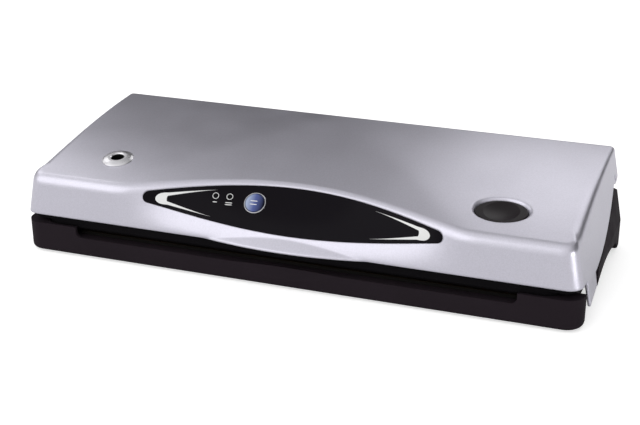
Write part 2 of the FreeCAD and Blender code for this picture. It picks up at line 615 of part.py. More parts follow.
def port_nut():
    """Six-sided nut that holds the fitting from inside the lid."""
    bore, top = PORT_NECK_R + NUT_PLAY, -WALL - NUT_PLAY
    nut = spun([(bore, top), (NUT_R, top), (NUT_R, top - NUT_T), (bore, top - NUT_T)])
    for i in range(6):
        flat = box(NUT_R * math.cos(math.pi / 6), 2 * NUT_R, -NUT_R, NUT_R, top - NUT_T, top)
        flat.rotate(V(0, 0, 0), Z_AXIS, 60 * i)
        nut = nut.cut(flat)
    return seated(nut, PORT_AT, PORT_N)


def hose_end(point, axis):
    """Ring-shaped section of the port hose."""
    rims = [Part.makeCircle(radius, point, axis) for radius in (HOSE_R, BARB_R + HOSE_PLAY)]
    outer, inner = [Part.Face(Part.Wire(rim)) for rim in rims]
    return outer.cut(inner)


def port_hose():
    """Hose from the barb of the port, bent down onto the nipple of the liner."""
    start = port_barb_start() + V(HOSE_START, 0, 0)
    bend = V(NIPPLE_X - HOSE_BEND, start.y, start.z)
    down = V(NIPPLE_X, start.y, start.z - HOSE_BEND)
    centre = V(bend.x, start.y, down.z)
    foot_z = LINER_Z + LINER_T + TOUCH
    level = hose_end(start, X_AXIS).extrude(bend - start)
    turn = hose_end(bend, X_AXIS).revolve(centre, Y_AXIS, 90)
    drop = hose_end(down, Z_AXIS).extrude(V(0, 0, foot_z - down.z))
    return joined([level, turn, drop])


def lid_liner():
    """Inner moulding: rounded front lip, chamber plate with grooves and a raised rear over the hump."""
    radius = (LIP_REAR_Y - LIP_FRONT_Y) / 2
    middle = (LIP_REAR_Y + LIP_FRONT_Y) / 2
    upper = LINER_Z + LINER_T
    raised = LINER_HIGH_Z + LINER_T
    sheet = across(FAR, (LIP_FRONT_Y, EDGE_Z), (LIP_FRONT_Y, LIP_Z + radius),
                   ((middle, LIP_Z), (LIP_REAR_Y, LIP_Z + radius)), (LIP_REAR_Y, LINER_Z),
                   (STEP_LOW_Y, LINER_Z), (STEP_HIGH_Y, LINER_HIGH_Z), (LINER_END_Y, LINER_HIGH_Z),
                   (LINER_END_Y, raised), (STEP_HIGH_Y - LINER_T, raised), (STEP_LOW_Y - LINER_T, upper),
                   (LIP_FRONT_Y + LINER_T, upper), (LIP_FRONT_Y + LINER_T, EDGE_Z))
    liner = sheet.common(lid_form(WALL + LINER_PLAY, soft=False))
    corner_trim = slab(DECK_HALF - LINER_IN_DECK, LIP_FRONT_Y, LINER_END_Y, LINER_CORNER, 0, LINER_Z)
    low_part = liner.common(box(-FAR, FAR, -SKY, STEP_LOW_Y, 0, LINER_Z)).common(corner_trim)
    liner = liner.common(box(-FAR, FAR, -SKY, SKY, LINER_Z, SKY)).fuse(low_part)
    liner = liner.common(slab(HALF_W - LINER_SIDE, FRONT_Y + WALL, REAR_Y, CORNER_R, 0, SKY))
    liner = liner.fuse(rod(NIPPLE_X, port_barb_start().y, LINER_Z, BARB_R, LINER_T + LINER_NIPPLE_H))
    liner = liner.removeSplitter()
    cuts = [ring(LINER_Z, LINER_Z + GROOVE)]
    cuts += [box(-BAR_HALF, BAR_HALF, BAR_FRONT_Y, BAR_REAR_Y, LINER_Z, LINER_Z + GROOVE)]
    cuts += [rod(NIPPLE_X, port_barb_start().y, 0, BARB_BORE, SKY)]
    cuts += [rod(RELEASE_X, RELEASE_Y, 0, STEM_R + STEM_ROOM, SKY)]
    cuts += [rod(x, y, 0, SCREW_R, SKY) for x, y in LINER_SPOTS]
    for x in (-HINGE_NOTCH_X, HINGE_NOTCH_X):
        cuts.append(box(x - HINGE_NOTCH_HALF, x + HINGE_NOTCH_HALF, HINGE_NOTCH_Y, SKY, 0, SKY))
    for cut in cuts:
        liner = liner.cut(cut)
    return liner


def release_button():
    """Oval key with a dished top, a skirt and a flange that stays under the lid."""
    top = top_z(RELEASE_Y)
    a, b = RELEASE_A - RELEASE_GAP, RELEASE_B - RELEASE_GAP
    key = oval(a, b, RELEASE_SKIRT_Z, SKY)
    slope = top_normal(RELEASE_Y)
    over = seated(box(-SKY, SKY, -SKY, SKY, -RELEASE_LOW, SKY), V(RELEASE_X, RELEASE_Y, top), slope)
    key = key.cut(over)
    key = key.makeFillet(RELEASE_EDGE_R, [e for e in key.Edges if e.BoundBox.ZMin > RELEASE_FLANGE_Z])
    dish_at = V(RELEASE_X, RELEASE_Y, top) + slope * (DISH_R - RELEASE_LOW - DISH_DEEP)
    key = key.cut(Part.makeSphere(DISH_R, dish_at))
    key = key.fuse(oval(RELEASE_A + FLANGE_OUT, RELEASE_B + FLANGE_OUT, RELEASE_SKIRT_Z, RELEASE_FLANGE_Z))
    return key.removeSplitter()


def release_valve():
    """Stem of the release button with its valve disc."""
    profile = [(0, VALVE_Z), (VALVE_R - VALVE_BEVEL, VALVE_Z), (VALVE_R, VALVE_Z + VALVE_BEVEL),
               (VALVE_R, VALVE_Z + VALVE_T), (STEM_R, VALVE_Z + VALVE_T), (STEM_R, RELEASE_SKIRT_Z),
               (0, RELEASE_SKIRT_Z)]
    return seated(spun(profile), V(RELEASE_X, RELEASE_Y, 0), Z_AXIS)


def valve_guide():
    foot = LINER_Z + LINER_T
    return tube(RELEASE_X, RELEASE_Y, foot, GUIDE_R, STEM_R + STEM_PLAY, GUIDE_TOP_Z - foot)


def least_gap(wire):
    """Least room between the turns, measured on points of the middle line half a turn or more apart."""
    steps = 8
    points = [p for edge in wire.Edges for p in edge.discretize(Number=steps + 1)[:-1]]
    pairs = ((p, q) for i, p in enumerate(points) for q in points[i + 2 * steps:])
    return min(p.distanceToPoint(q) for p, q in pairs) - 2 * WIRE_R


def release_spring():
    """Coil spring between the guide and the button, as one tube along arcs of a quarter turn."""
    low, high = GUIDE_TOP_Z + WIRE_R, RELEASE_SKIRT_Z - WIRE_R
    rise = (high - low) / SPRING_TURNS

    def along(turns):
        a = 2 * math.pi * turns
        return V(RELEASE_X + SPRING_R * math.cos(a), RELEASE_Y + SPRING_R * math.sin(a), low + rise * turns)

    arcs = [Part.Arc(along(i / 4), along((i + 0.5) / 4), along((i + 1) / 4)).toShape()
            for i in range(4 * SPRING_TURNS)]
    wire = Part.Wire(arcs)
    print("release spring: least gap between turns", round(least_gap(wire), 2), "mm")
    start = Part.Wire(Part.makeCircle(WIRE_R, along(0), arcs[0].tangentAt(arcs[0].FirstParameter)))
    return wire.makePipeShell([start], True, False)


def screws(spots, head_z, length):
    """Round-headed screws driven upward."""
    heads = [rod(x, y, head_z - HEAD_T, HEAD_R, HEAD_T) for x, y in spots]
    shanks = [rod(x, y, head_z, SCREW_R, length) for x, y in spots]
    return Part.makeCompound([head.fuse(shank) for head, shank in zip(heads, shanks)])


def base_form(inset):
    """Base block: nearly upright up to the rim, then drawn in at the sides like the lid."""
    wires = []
    for half, z in ((BASE_HALF, BASE_Z), (BASE_HALF_MID, RIM_Z), (BASE_HALF_TOP, BASE_TOP)):
        lean = BASE_DRAFT * (z - BASE_Z) + inset
        wires.append(plan(half - inset, BASE_FRONT_Y + lean, BASE_REAR_Y - lean, BASE_R - inset,
                          BASE_REAR_R - inset, z))
    return Part.makeLoft(wires, True, True)


def above_base_walls(down):
    """Space over the base walls, which rise along the lid edge and drop again behind the hinge."""
    seam = SIDE_GAP + down
    rim_z, end_z = RIM_Z - down, SIDE_END_Z - seam - WALL_TOP_EASE
    shoulder_z = SHOULDER_END_Z - down
    return across(FAR, (-SKY, rim_z), (POCKET_REAR_Y, rim_z), (POCKET_REAR_Y, SIDE_LOW_Z - seam),
                  ((SIDE_MID_Y, SIDE_MID_Z - seam), (SHOULDER_Y, end_z)),
                  (BASE_REAR_Y, shoulder_z), (SKY, shoulder_z - SHOULDER_DROP), (SKY, SKY), (-SKY, SKY))


def hump(inset):
    """Raised block behind the chamber that houses the machinery."""
    front, top, rear, z = HUMP_FRONT_Y + inset, HUMP_TOP_Y + inset, HUMP_REAR_Y - inset, HUMP_Z - inset
    return across(HUMP_HALF - inset, (front, 0), (front, DECK_Z), (top, z), (rear - HUMP_CHAMFER_Y, z),
                  (rear, z - HUMP_CHAMFER_Z), (rear, 0))


def hinge_lug(x0, x1):
    outline = side_face(x0, (HINGE_Y - LUG_FRONT, SHOULDER_END_Z), (HINGE_Y - LUG_R, HINGE_Z),
                        ((HINGE_Y, HINGE_Z + LUG_R), (HINGE_Y + LUG_R, HINGE_Z)),
                        (HINGE_Y + LUG_REAR, SHOULDER_END_Z))
    return outline.extrude(V(x1 - x0, 0, 0))


def side_recess(sx, wall=0.0):
    """Finger pocket beside the chamber and the long arch behind it, both set in at the foot of the side."""
    crown = (SIDE_ARCH_Y, SIDE_ARCH_Z + wall)
    knee = (SIDE_ARCH_KNEE_Y, SIDE_ARCH_KNEE_Z + wall)
    toe = (SIDE_ARCH_END_Y + wall, BASE_Z)
    bend = (SIDE_ARCH_END_Y - SIDE_ARCH_BEND + wall, (SIDE_ARCH_KNEE_Z + BASE_Z) / 2 + wall)
    face = side_face(sx * (POCKET_X - wall), (POCKET_FRONT_Y - wall, -SKY), (POCKET_FRONT_Y - wall, SKY),
                     (POCKET_REAR_Y + wall, SKY), (POCKET_REAR_Y + wall, SIDE_ARCH_Z0 + wall), (crown, knee),
                     (bend, toe), (SIDE_ARCH_END_Y + wall, -SKY))
    return face.extrude(V(sx * FAR, 0, 0))


def corner_floor(sx):
    """Space beside the bottom plate, where the corners of the housing have a floor of their own."""
    near, far = sorted((sx * (PLATE_HALF + PLATE_PLAY), sx * FAR))
    return box(near, far, -SKY, SKY, 0, FLOOR_Z)


def base_cavity():
    """Room for the machinery behind the chamber and for the bottom plate, clear of the side recesses."""
    inner = base_form(BASE_WALL)
    behind = HUMP_FRONT_Y + BASE_WALL
    rear = inner.cut(above_base_walls(BASE_WALL)).common(box(-FAR, FAR, behind, SKY, 0, SKY))
    rise = hump(BASE_WALL).common(box(-FAR, FAR, behind, SKY, 0, SKY))
    under = inner.common(box(-FAR, FAR, -SKY, SKY, 0, FLOOR_Z))
    room = rear.fuse(rise).fuse(under)
    for sx in (-1, 1):
        room = room.cut(side_recess(sx, BASE_WALL)).cut(corner_floor(sx))
    return room


def front_scoop():
    """Shallow finger scoop in the front wall below the lip, fading out toward the foot."""
    centre = V(0, BASE_FRONT_Y + SCOOP_DEEP - SCOOP_R, BASE_Z)
    cone = Part.makeCone(SCOOP_R - SCOOP_DEEP - SCOOP_FLARE, SCOOP_R + SCOOP_FLARE, SCOOP_H, centre)
    return cone.common(box(-SCOOP_HALF, SCOOP_HALF, -SKY, 0, BASE_Z + SCOOP_LOW, SKY))


def base_housing():
    body = base_form(0.0)
    low = [e for e in body.Edges if e.BoundBox.ZMax < BASE_Z + TOUCH]
    body = body.makeFillet(SKIRT_R, low)
    body = body.cut(above_base_walls(0.0))
    deck = slab(DECK_HALF, DECK_FRONT_Y, DECK_REAR_Y, DECK_CORNER, DECK_Z, SKY)
    body = body.cut(deck)
    body = body.fuse(hump(0.0).common(base_form(BASE_WALL / 3)))
    notch = box(-NOTCH_HALF, NOTCH_HALF, -SKY, (DECK_FRONT_Y + BAR_FRONT_Y) / 2, NOTCH_Z, SKY)
    notch = notch.makeFillet(NOTCH_R, [e for e in notch.Edges if e.BoundBox.ZMax < NOTCH_Z + TOUCH
                                       and e.BoundBox.XLength < TOUCH])
    body = body.cut(notch)
    body = body.cut(base_cavity())
    lugs = [hinge_lug(LUG_IN_X, LUG_OUT_X), hinge_lug(-LUG_OUT_X, -LUG_IN_X)]
    posts = [rod(x, y, FLOOR_Z, SCREW_POST_R, ROOF_Z).cut(above_base_walls(BASE_WALL / 3))
             for x, y in SCREW_SPOTS if y > 0]
    pad = box(GLAND_X - GLAND_PAD, GLAND_X + GLAND_PAD, GLAND_SEAT_Y - GLAND_WALL, REAR_Y - GLAND_WALL,
              FLOOR_Z, GLAND_Z + GLAND_PAD)
    body = joined([body, pad] + lugs + posts)
    trough = slab(RING_HALF - RING_W, RING_FRONT_Y + RING_W, RING_REAR_Y - RING_W, RING_CORNER - RING_W,
                  TROUGH_Z, SKY)
    trough = trough.makeFillet(TROUGH_R, [e for e in trough.Edges if e.BoundBox.ZMax < TROUGH_Z + TOUCH])
    cuts = [trough, ring(LOWER_GASKET_Z, SKY), side_recess(-1), side_recess(1)]
    cuts += [box(-BAR_HALF, BAR_HALF, BAR_FRONT_Y, BAR_REAR_Y, TROUGH_Z, SKY), front_scoop()]
    suction_y = RING_REAR_Y - RING_W - TOUCH
    cuts += [rod(SUCTION_X, suction_y, SUCTION_Z, NIPPLE_R, HUMP_FRONT_Y + NIPPLE_IN - suction_y, Y_AXIS)]
    cuts += [rod(-FAR, HINGE_Y, HINGE_Z, PIN_R, 2 * FAR, X_AXIS)]
    cuts += [rod(x, y, 0, SCREW_R, PLATE_Z + BASE_SCREW_L + SCREW_END) for x, y in SCREW_SPOTS]
    half_x, half_y = SWITCH_HALF_X + SWITCH_PLAY, SWITCH_HALF_Y + SWITCH_PLAY
    cuts += [box(SWITCH_X - half_x, SWITCH_X + half_x, SWITCH_Y - half_y, SWITCH_Y + half_y,
                 0, SWITCH_ROOM_Z)]
    cuts += [rod(SWITCH_X, SWITCH_Y, 0, PLUNGER_R + PLUNGER_PLAY, DECK_Z + BASE_WALL)]
    cuts += [rod(GLAND_X, GLAND_SEAT_Y, GLAND_Z, GLAND_R + GLAND_PLAY, SKY, Y_AXIS)]
    cuts += [rod(GLAND_X, HUMP_REAR_Y, GLAND_Z, GLAND_NECK_R, SKY, Y_AXIS)]
    for cut in cuts:
        body = body.cut(cut)
    return body


def bottom_plate():
    room = box(-PLATE_HALF, PLATE_HALF, -SKY, SKY, PLATE_Z, FLOOR_Z)
    plate = base_form(BASE_WALL + PLATE_PLAY).common(room)
    spots = [(x, y) for x in (CARD_X0 + CARD_POST_IN, CARD_X1 - CARD_POST_IN)
             for y in (CARD_Y0 + CARD_POST_IN, CARD_Y1 - CARD_POST_IN)]
    plate = joined([plate] + [rod(x, y, FLOOR_Z, CARD_POST_R, CARD_Z - FLOOR_Z) for x, y in spots])
    for x, y in SCREW_SPOTS:
        plate = plate.cut(rod(x, y, 0, SCREW_R, SKY))
    return plate


def rubber_feet():
    """Bevelled discs stuck under the bottom plate."""
    profile = [(0, 0), (FOOT_R - FOOT_BEVEL, 0), (FOOT_R, FOOT_BEVEL), (FOOT_R, PLATE_Z), (0, PLATE_Z)]
    return Part.makeCompound([seated(spun(profile), V(x, y, 0), Z_AXIS) for x, y in FOOT_SPOTS])


def seal_bar():
    bar = box(-BAR_HALF, BAR_HALF, BAR_FRONT_Y, BAR_REAR_Y, TROUGH_Z, BAR_TOP_Z)
    middle = (BAR_FRONT_Y + BAR_REAR_Y) / 2
    long_edges = [e for e in bar.Edges if e.BoundBox.ZMin > BAR_TOP_Z - TOUCH and e.Length > BAR_HALF]
    bar = bar.makeChamfer(BAR_BEVEL, long_edges)
    return bar.cut(box(-FAR, FAR, middle - STRIP_W / 2, middle + STRIP_W / 2, BAR_TOP_Z - STRIP_T, SKY))


def heating_strip():
    middle = (BAR_FRONT_Y + BAR_REAR_Y) / 2
    half = BAR_HALF - STRIP_W
    return box(-half, half, middle - STRIP_W / 2, middle + STRIP_W / 2, BAR_TOP_Z - STRIP_T, BAR_TOP_Z)


def tape_cover():
    return box(-BAR_HALF, BAR_HALF, BAR_FRONT_Y + BAR_BEVEL, BAR_REAR_Y - BAR_BEVEL, BAR_TOP_Z,
               BAR_TOP_Z + TAPE_T)


def pressure_strip():
    """Silicone strip that presses the bag onto the sealing bar, with a ribbed face."""
    strip = box(-BAR_HALF, BAR_HALF, BAR_FRONT_Y, BAR_REAR_Y, PRESS_Z, LINER_Z + GROOVE)
    width = BAR_REAR_Y - BAR_FRONT_Y
    for i in (1, 2, 3):
        y = BAR_FRONT_Y + i * width / 4
        strip = strip.cut(box(-FAR, FAR, y - RIB_HALF, y + RIB_HALF, 0, PRESS_Z + RIB_H))
    return strip


def gasket(z0, z1, facing):
    """Foam ring, rounded on the face that meets the other ring."""
    body = ring(z0, z1)
    face = z1 if facing > 0 else z0
    return body.makeFillet(GASKET_R, [e for e in body.Edges if abs(e.BoundBox.ZMin - face) < TOUCH
                                      and e.BoundBox.ZLength < TOUCH])


def suction_nipple():
    start = RING_REAR_Y - RING_W
    length = HUMP_FRONT_Y + NIPPLE_IN - start
    return tube(SUCTION_X, start, SUCTION_Z, NIPPLE_R, NIPPLE_BORE, length, Y_AXIS)


def suction_hose():
    start = HUMP_FRONT_Y + HOSE_IN
    return tube(SUCTION_X, start, SUCTION_Z, NIPPLE_R + HOSE_T, NIPPLE_R + HOSE_PLAY, HEAD_Y0 - TOUCH - start,
                Y_AXIS)


def pump_head():
    """Pump block with cooling ribs, a round cylinder cap and its inlet."""
    low, high = FLOOR_Z + BRACKET_T, PUMP_Z + HEAD_H
    block = box(HEAD_X0, HEAD_X1, HEAD_Y0, HEAD_Y1, low, high)
    block = block.makeFillet(HEAD_EDGE_R, [e for e in block.Edges if e.BoundBox.ZLength > HEAD_H])
    cap = rod((HEAD_X0 + HEAD_X1) / 2, PUMP_Y, high, CAP_R, CAP_H)
    inlet = rod(SUCTION_X, HEAD_Y0 - INLET_L, SUCTION_Z, NIPPLE_R, INLET_L + BRACKET_EDGE, Y_AXIS)
    head = joined([block, cap, inlet])
    for i in range(FIN_COUNT):
        z = low + FIN_LOW + FIN_STEP * i
        head = head.cut(box(HEAD_X1 - FIN_DEEP, FAR, -SKY, SKY, z, z + FIN_GAP))
    return head.cut(rod(SUCTION_X, HEAD_Y0 - INLET_L, SUCTION_Z, NIPPLE_BORE, 2 * INLET_L, Y_AXIS))


def pump_motor():
    can = rod(MOTOR_X0, PUMP_Y, PUMP_Z, MOTOR_R, MOTOR_X1 - MOTOR_X0, X_AXIS)
    can = can.makeFillet(MOTOR_EDGE_R, [e for e in can.Edges if e.BoundBox.XMax < MOTOR_X0 + TOUCH])
    boss = rod(MOTOR_X0 - MOTOR_BOSS_L, PUMP_Y, PUMP_Z, MOTOR_BOSS_R, 2 * MOTOR_BOSS_L, X_AXIS)
    tags = [box(MOTOR_X0 - TAG_L, MOTOR_X0 + TAG_L, y - TAG_HALF, y + TAG_HALF, PUMP_Z, PUMP_Z + TAG_T)
            for y in (PUMP_Y - TAG_Y, PUMP_Y + TAG_Y)]
    return joined([can, boss] + tags)


def pump_bracket():
    """Foot plate of the pump with a saddle under the motor."""
    foot = box(MOTOR_X0 - BRACKET_SIDE, HEAD_X1 + BRACKET_SIDE, HEAD_Y0 + BRACKET_EDGE,
               HEAD_Y1 + BRACKET_EDGE, FLOOR_Z, FLOOR_Z + BRACKET_T)
    saddle = box(MOTOR_X0 + SADDLE_IN, MOTOR_X1 - SADDLE_IN, PUMP_Y - SADDLE_HALF, PUMP_Y + SADDLE_HALF,
                 FLOOR_Z, PUMP_Z - SADDLE_DROP)
    saddle = saddle.cut(rod(-FAR, PUMP_Y, PUMP_Z, MOTOR_R + TOUCH, 2 * FAR, X_AXIS))
    return foot.fuse(saddle).removeSplitter()


def transformer_core():
    """Stacked core with two windows."""
    core = box(CORE_X0, CORE_X1, CORE_Y0, CORE_Y1, FLOOR_Z, FLOOR_Z + CORE_H)
    middle = (CORE_X0 + CORE_X1) / 2
    for x0, x1 in ((CORE_X0 + LEG, middle - LEG), (middle + LEG, CORE_X1 - LEG)):
        core = core.cut(box(x0, x1, -SKY, SKY, FLOOR_Z + YOKE, FLOOR_Z + CORE_H - YOKE))
    return core


def transformer_coil():
    """Winding on the middle leg, bulging out in front and behind the core."""
    middle = (CORE_X0 + CORE_X1) / 2
    z0, z1 = FLOOR_Z + YOKE, FLOOR_Z + CORE_H - YOKE
    outer = box(CORE_X0 + LEG, CORE_X1 - LEG, CORE_Y0 - COIL_OUT, CORE_Y1 + COIL_OUT, z0, z1)
    outer = outer.makeFillet(COIL_R, [e for e in outer.Edges if e.BoundBox.ZLength > COIL_R])
    return outer.cut(box(middle - LEG, middle + LEG, CORE_Y0, CORE_Y1, z0, z1))


def power_board():
    return box(CARD_X0, CARD_X1, CARD_Y0, CARD_Y1, CARD_Z, CARD_Z + BOARD_T)


def on_card(x, length, y, width, height):
    """Block on the power board, placed from the corner of the card."""
    z = CARD_Z + BOARD_T
    return box(CARD_X0 + x, CARD_X0 + x + length, CARD_Y0 + y, CARD_Y0 + y + width, z, z + height)


def power_parts():
    """Relay, capacitor, heat sink and lead socket of the power board."""
    relay = on_card(RELAY_X, RELAY_L, RELAY_Y, RELAY_W, RELAY_H)
    can = rod(CARD_X0 + CAN_X, CARD_Y0 + CAN_Y, CARD_Z + BOARD_T, CAN_R, CAN_H)
    spine = on_card(SINK_X, SINK_T, SINK_Y, SINK_FINS * SINK_STEP - SINK_STEP + SINK_T, SINK_H)
    fins = [on_card(SINK_X, SINK_L, SINK_Y + SINK_STEP * i, SINK_T, SINK_H) for i in range(SINK_FINS)]
    plug = on_card(PLUG_X, PLUG_L, PLUG_Y, PLUG_W, PLUG_H)
    return Part.makeCompound([relay, can, joined([spine] + fins), plug])


def lid_switch():
    return box(SWITCH_X - SWITCH_HALF_X, SWITCH_X + SWITCH_HALF_X, SWITCH_Y - SWITCH_HALF_Y,
               SWITCH_Y + SWITCH_HALF_Y, FLOOR_Z, SWITCH_TOP_Z)


def switch_plunger():
    """Pin through the deck that the closing lid presses, held below the deck by a flange."""
    foot = SWITCH_ROOM_Z - SWITCH_PLAY - PLUNGER_FLANGE_T
    pin = rod(SWITCH_X, SWITCH_Y, foot, PLUNGER_R, PLUNGER_TOP_Z - foot)
    pin = pin.makeFillet(PLUNGER_TIP_R, [e for e in pin.Edges if e.BoundBox.ZMin > PLUNGER_TOP_Z - TOUCH])
    return pin.fuse(rod(SWITCH_X, SWITCH_Y, foot, PLUNGER_FLANGE_R, PLUNGER_FLANGE_T)).removeSplitter()


def cord_gland():
    """Bush for the mains lead with a flange outside and a collar inside the rear wall."""
    seat, inside = GLAND_SEAT_Y, GLAND_SEAT_Y - GLAND_WALL
    outside, end = seat + GLAND_FLANGE_T, inside - GLAND_TAPER
    profile = [(GLAND_BORE_R, outside), (GLAND_R - GLAND_BEVEL, outside), (GLAND_R, outside - GLAND_BEVEL),
               (GLAND_R, seat), (GLAND_NECK_R, seat), (GLAND_NECK_R, inside), (GLAND_R - GLAND_BEVEL, inside),
               (GLAND_NECK_R, end), (GLAND_BORE_R, end)]
    return seated(spun(profile), V(GLAND_X, 0, GLAND_Z), Y_AXIS)


def hinge_pin(x0):
    pin = rod(x0, HINGE_Y, HINGE_Z, PIN_R, PIN_OUT_X - PIN_IN_X, X_AXIS)
    return pin.makeChamfer(PIN_BEVEL, [e for e in pin.Edges if e.isClosed()])


def write(name, shape):
    shape.exportStep("parts/" + name + ".step")


write("lid_shell", lid_shell())
write("lid_liner", lid_liner())
write("control_panel", control_panel())
write("button_ring", button_ring())
write("power_light", light_pipe(*LIGHTS[0]))
write("seal_light", light_pipe(*LIGHTS[1]))
write("control_board", control_board())
write("board_parts", board_parts())
write("port_fitting", port_fitting())
write("port_nut", port_nut())
write("port_hose", port_hose())
write("upper_gasket", gasket(UPPER_GASKET_Z, LINER_Z + GROOVE, -1))
write("pressure_strip", pressure_strip())
write("valve_guide", valve_guide())
write("liner_screws", screws(LINER_SPOTS, LINER_Z, LINER_SCREW_L))
write("seal_button", seal_button())
write("release_button", release_button())
write("release_valve", release_valve())
write("release_spring", release_spring())
write("base_housing", base_housing())
write("bottom_plate", bottom_plate())
write("rubber_feet", rubber_feet())
write("bottom_screws", screws(SCREW_SPOTS, PLATE_Z, BASE_SCREW_L))
write("seal_bar", seal_bar())
write("heating_strip", heating_strip())
write("tape_cover", tape_cover())
write("lower_gasket", gasket(LOWER_GASKET_Z, LOWER_GASKET_TOP, 1))
write("suction_nipple", suction_nipple())
write("suction_hose", suction_hose())
write("pump_head", pump_head())
write("pump_motor", pump_motor())
write("pump_bracket", pump_bracket())
write("transformer_core", transformer_core())
write("transformer_coil", transformer_coil())
write("power_board", power_board())
write("power_parts", power_parts())
write("lid_switch", lid_switch())
write("switch_plunger", switch_plunger())
write("cord_gland", cord_gland())
write("hinge_pin_left", hinge_pin(-PIN_OUT_X))
write("hinge_pin_right", hinge_pin(PIN_IN_X))
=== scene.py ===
import json
import math

import bmesh
import bpy
from mathutils import Matrix, Vector
from mathutils.bvhtree import BVHTree


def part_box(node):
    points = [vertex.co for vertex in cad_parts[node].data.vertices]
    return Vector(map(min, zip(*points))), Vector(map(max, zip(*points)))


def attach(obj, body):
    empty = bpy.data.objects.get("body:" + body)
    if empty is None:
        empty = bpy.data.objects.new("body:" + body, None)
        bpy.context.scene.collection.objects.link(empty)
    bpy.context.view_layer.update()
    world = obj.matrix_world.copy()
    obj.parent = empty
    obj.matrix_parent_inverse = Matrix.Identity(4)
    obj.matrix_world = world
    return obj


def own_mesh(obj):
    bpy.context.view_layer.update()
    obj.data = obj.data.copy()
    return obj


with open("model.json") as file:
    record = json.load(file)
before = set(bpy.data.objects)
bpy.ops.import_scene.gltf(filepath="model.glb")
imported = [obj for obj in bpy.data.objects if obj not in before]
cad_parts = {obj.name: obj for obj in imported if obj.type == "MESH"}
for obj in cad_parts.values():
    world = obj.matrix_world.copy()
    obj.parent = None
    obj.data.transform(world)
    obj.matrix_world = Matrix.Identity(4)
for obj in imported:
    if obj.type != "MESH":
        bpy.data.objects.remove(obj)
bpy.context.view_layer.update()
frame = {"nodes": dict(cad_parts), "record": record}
nodes = frame["nodes"]

MM = 0.001

# Camera: where it stands in metres, the way it looks in degrees, and its lens on a 36 mm wide film
CAMERA_AT = (0.32824, -0.85536, 0.41269)
CAMERA_YAW, CAMERA_PITCH, CAMERA_ROLL = 21.08, 22.777, -0.727
CAMERA_LENS = 77.445

# White print on the control panel, in millimetres
PRINT_LIFT = 0.05 * MM      # above the panel face
PANEL_X, PANEL_EDGE_HALF = 1.0, 126.5       # middle of the panel, and where its edge curves cross
PANEL_TIP_Z, PANEL_TOP_Z, PANEL_LOW_Z = 53.3, 62.3, 38.1
BRACKET_INSET = 2.2         # between the panel edge and the print
BRACKET_TIP_X = 99.6        # outer bend of the print, from the middle
BRACKET_BEND_X = 90.6       # where the arms turn into the bend
BRACKET_END_X = 58.0        # where the arms run out
BRACKET_W = 1.9             # width of the arms next to the bend
BRACKET_FINE = 0.05         # width of the arms where they run out
BRACKET_TAPER = 1.4         # power by which the width grows
BRACKET_HOLLOW = 1.0        # how far the inner side of the bend goes out
BRACKET_ROUND = 0.7         # power of the bend, below 1 for a blunt tip
BRACKET_STEPS = 28
LAMP_RING_R, LAMP_RING_W = 1.9, 0.45
LAMP_RING_STEPS = 40
LAMP_RING_START = 0.3       # the ring is laid onto the panel from this far before it
LAMP_FRONT = 3.2 * MM       # from the middle of a light pipe to the panel face
LAMP_BARS = (               # half lengths of the bars below each lamp
    ("power_light", (1.6,)),
    ("seal_light", (2.6, 2.6)),
)
MARK_DROP, MARK_STEP, MARK_HALF_H = 4.6, 1.5, 0.32      # bars below the lamps
MARK_STEPS = 8              # along half a bar
MARK_BLUNT, MARK_END = 6, 0.05                          # power and least share of the rounded ends
KEY_MARK_RISE, KEY_MARK_HALF = 1.3, 2.6                 # bars on the seal button
REACH_OUT = (0.0, -0.010, 0.011)                        # away from the leaning panel, in metres
FRONT_Y = -0.2                                          # well before the object, in metres

# Soft creases of the lid top: a point of each, and the way down from it, in metres
CREASES = (
    ((0.120, -0.066, 0.0), (0.746, 0.665, 0.0)),
    ((-0.112, -0.049, 0.0), (-0.795, 0.607, 0.0)),
)
CREASE_FALL = 0.05          # slope beyond a crease
CREASE_SOFT = 0.012         # width over which it turns

# Port collar: axis of its bore, in metres
PORT_AT, PORT_AXIS = (-0.1435, -0.0365, 0.06478), (0.0, -0.15115, 0.98851)
PORT_SHADE_R = 4.7 * MM    # the bore is painted dark within this radius, as painted shade
PORT_SHADE_EDGE = 0.2 * MM

# Colours, in linear light
SILVER, SILVER_FLAKE = (0.62, 0.605, 0.685), (0.69, 0.675, 0.765)
COLLAR, COLLAR_DIM, COLLAR_PALE = (0.85, 0.84, 0.87), (0.70, 0.69, 0.72), (0.80, 0.79, 0.82)
# painted shade inside the port bore
BORE_SHADE = (0.006, 0.006, 0.006)
# the foam's cell pits are painted darker as painted shade
FOAM, FOAM_PIT_SHADE, FOAM_WALL = (0.20, 0.20, 0.21), (0.12, 0.12, 0.125), (0.25, 0.25, 0.26)
# the gaps between copper turns and between steel sheets are painted darker as painted shade
COPPER, COPPER_GAP_SHADE, COPPER_TURN = (0.60, 0.24, 0.09), (0.36, 0.12, 0.04), (0.68, 0.29, 0.11)
CORE, CORE_GAP_SHADE, CORE_SHEET = (0.32, 0.32, 0.33), (0.20, 0.20, 0.21), (0.40, 0.40, 0.41)
BOARD, BOARD_PATCH, BOARD_TRACK = (0.02, 0.13, 0.05), (0.025, 0.16, 0.06), (0.05, 0.24, 0.10)
HOSE = (0.85, 0.88, 0.88)
PANEL = (0.0045, 0.0032, 0.0055)
# seal button: a painted highlight at its left side, blue in the middle, painted shade at its right side
KEY, KEY_LIT_LEFT, KEY_LIT_CLOUD = (0.08, 0.10, 0.30), (0.43, 0.50, 0.68), (0.38, 0.45, 0.63)
KEY_BLUE, KEY_SHADE_RIGHT = (0.10, 0.13, 0.34), (0.002, 0.0025, 0.008)
KEY_LIT_EDGE_W = 1.5 * MM         # width of the painted highlight strip at the left edge of the seal button
PAPER = (0.82, 0.82, 0.82)
WHITE = (1.0, 1.0, 1.0)

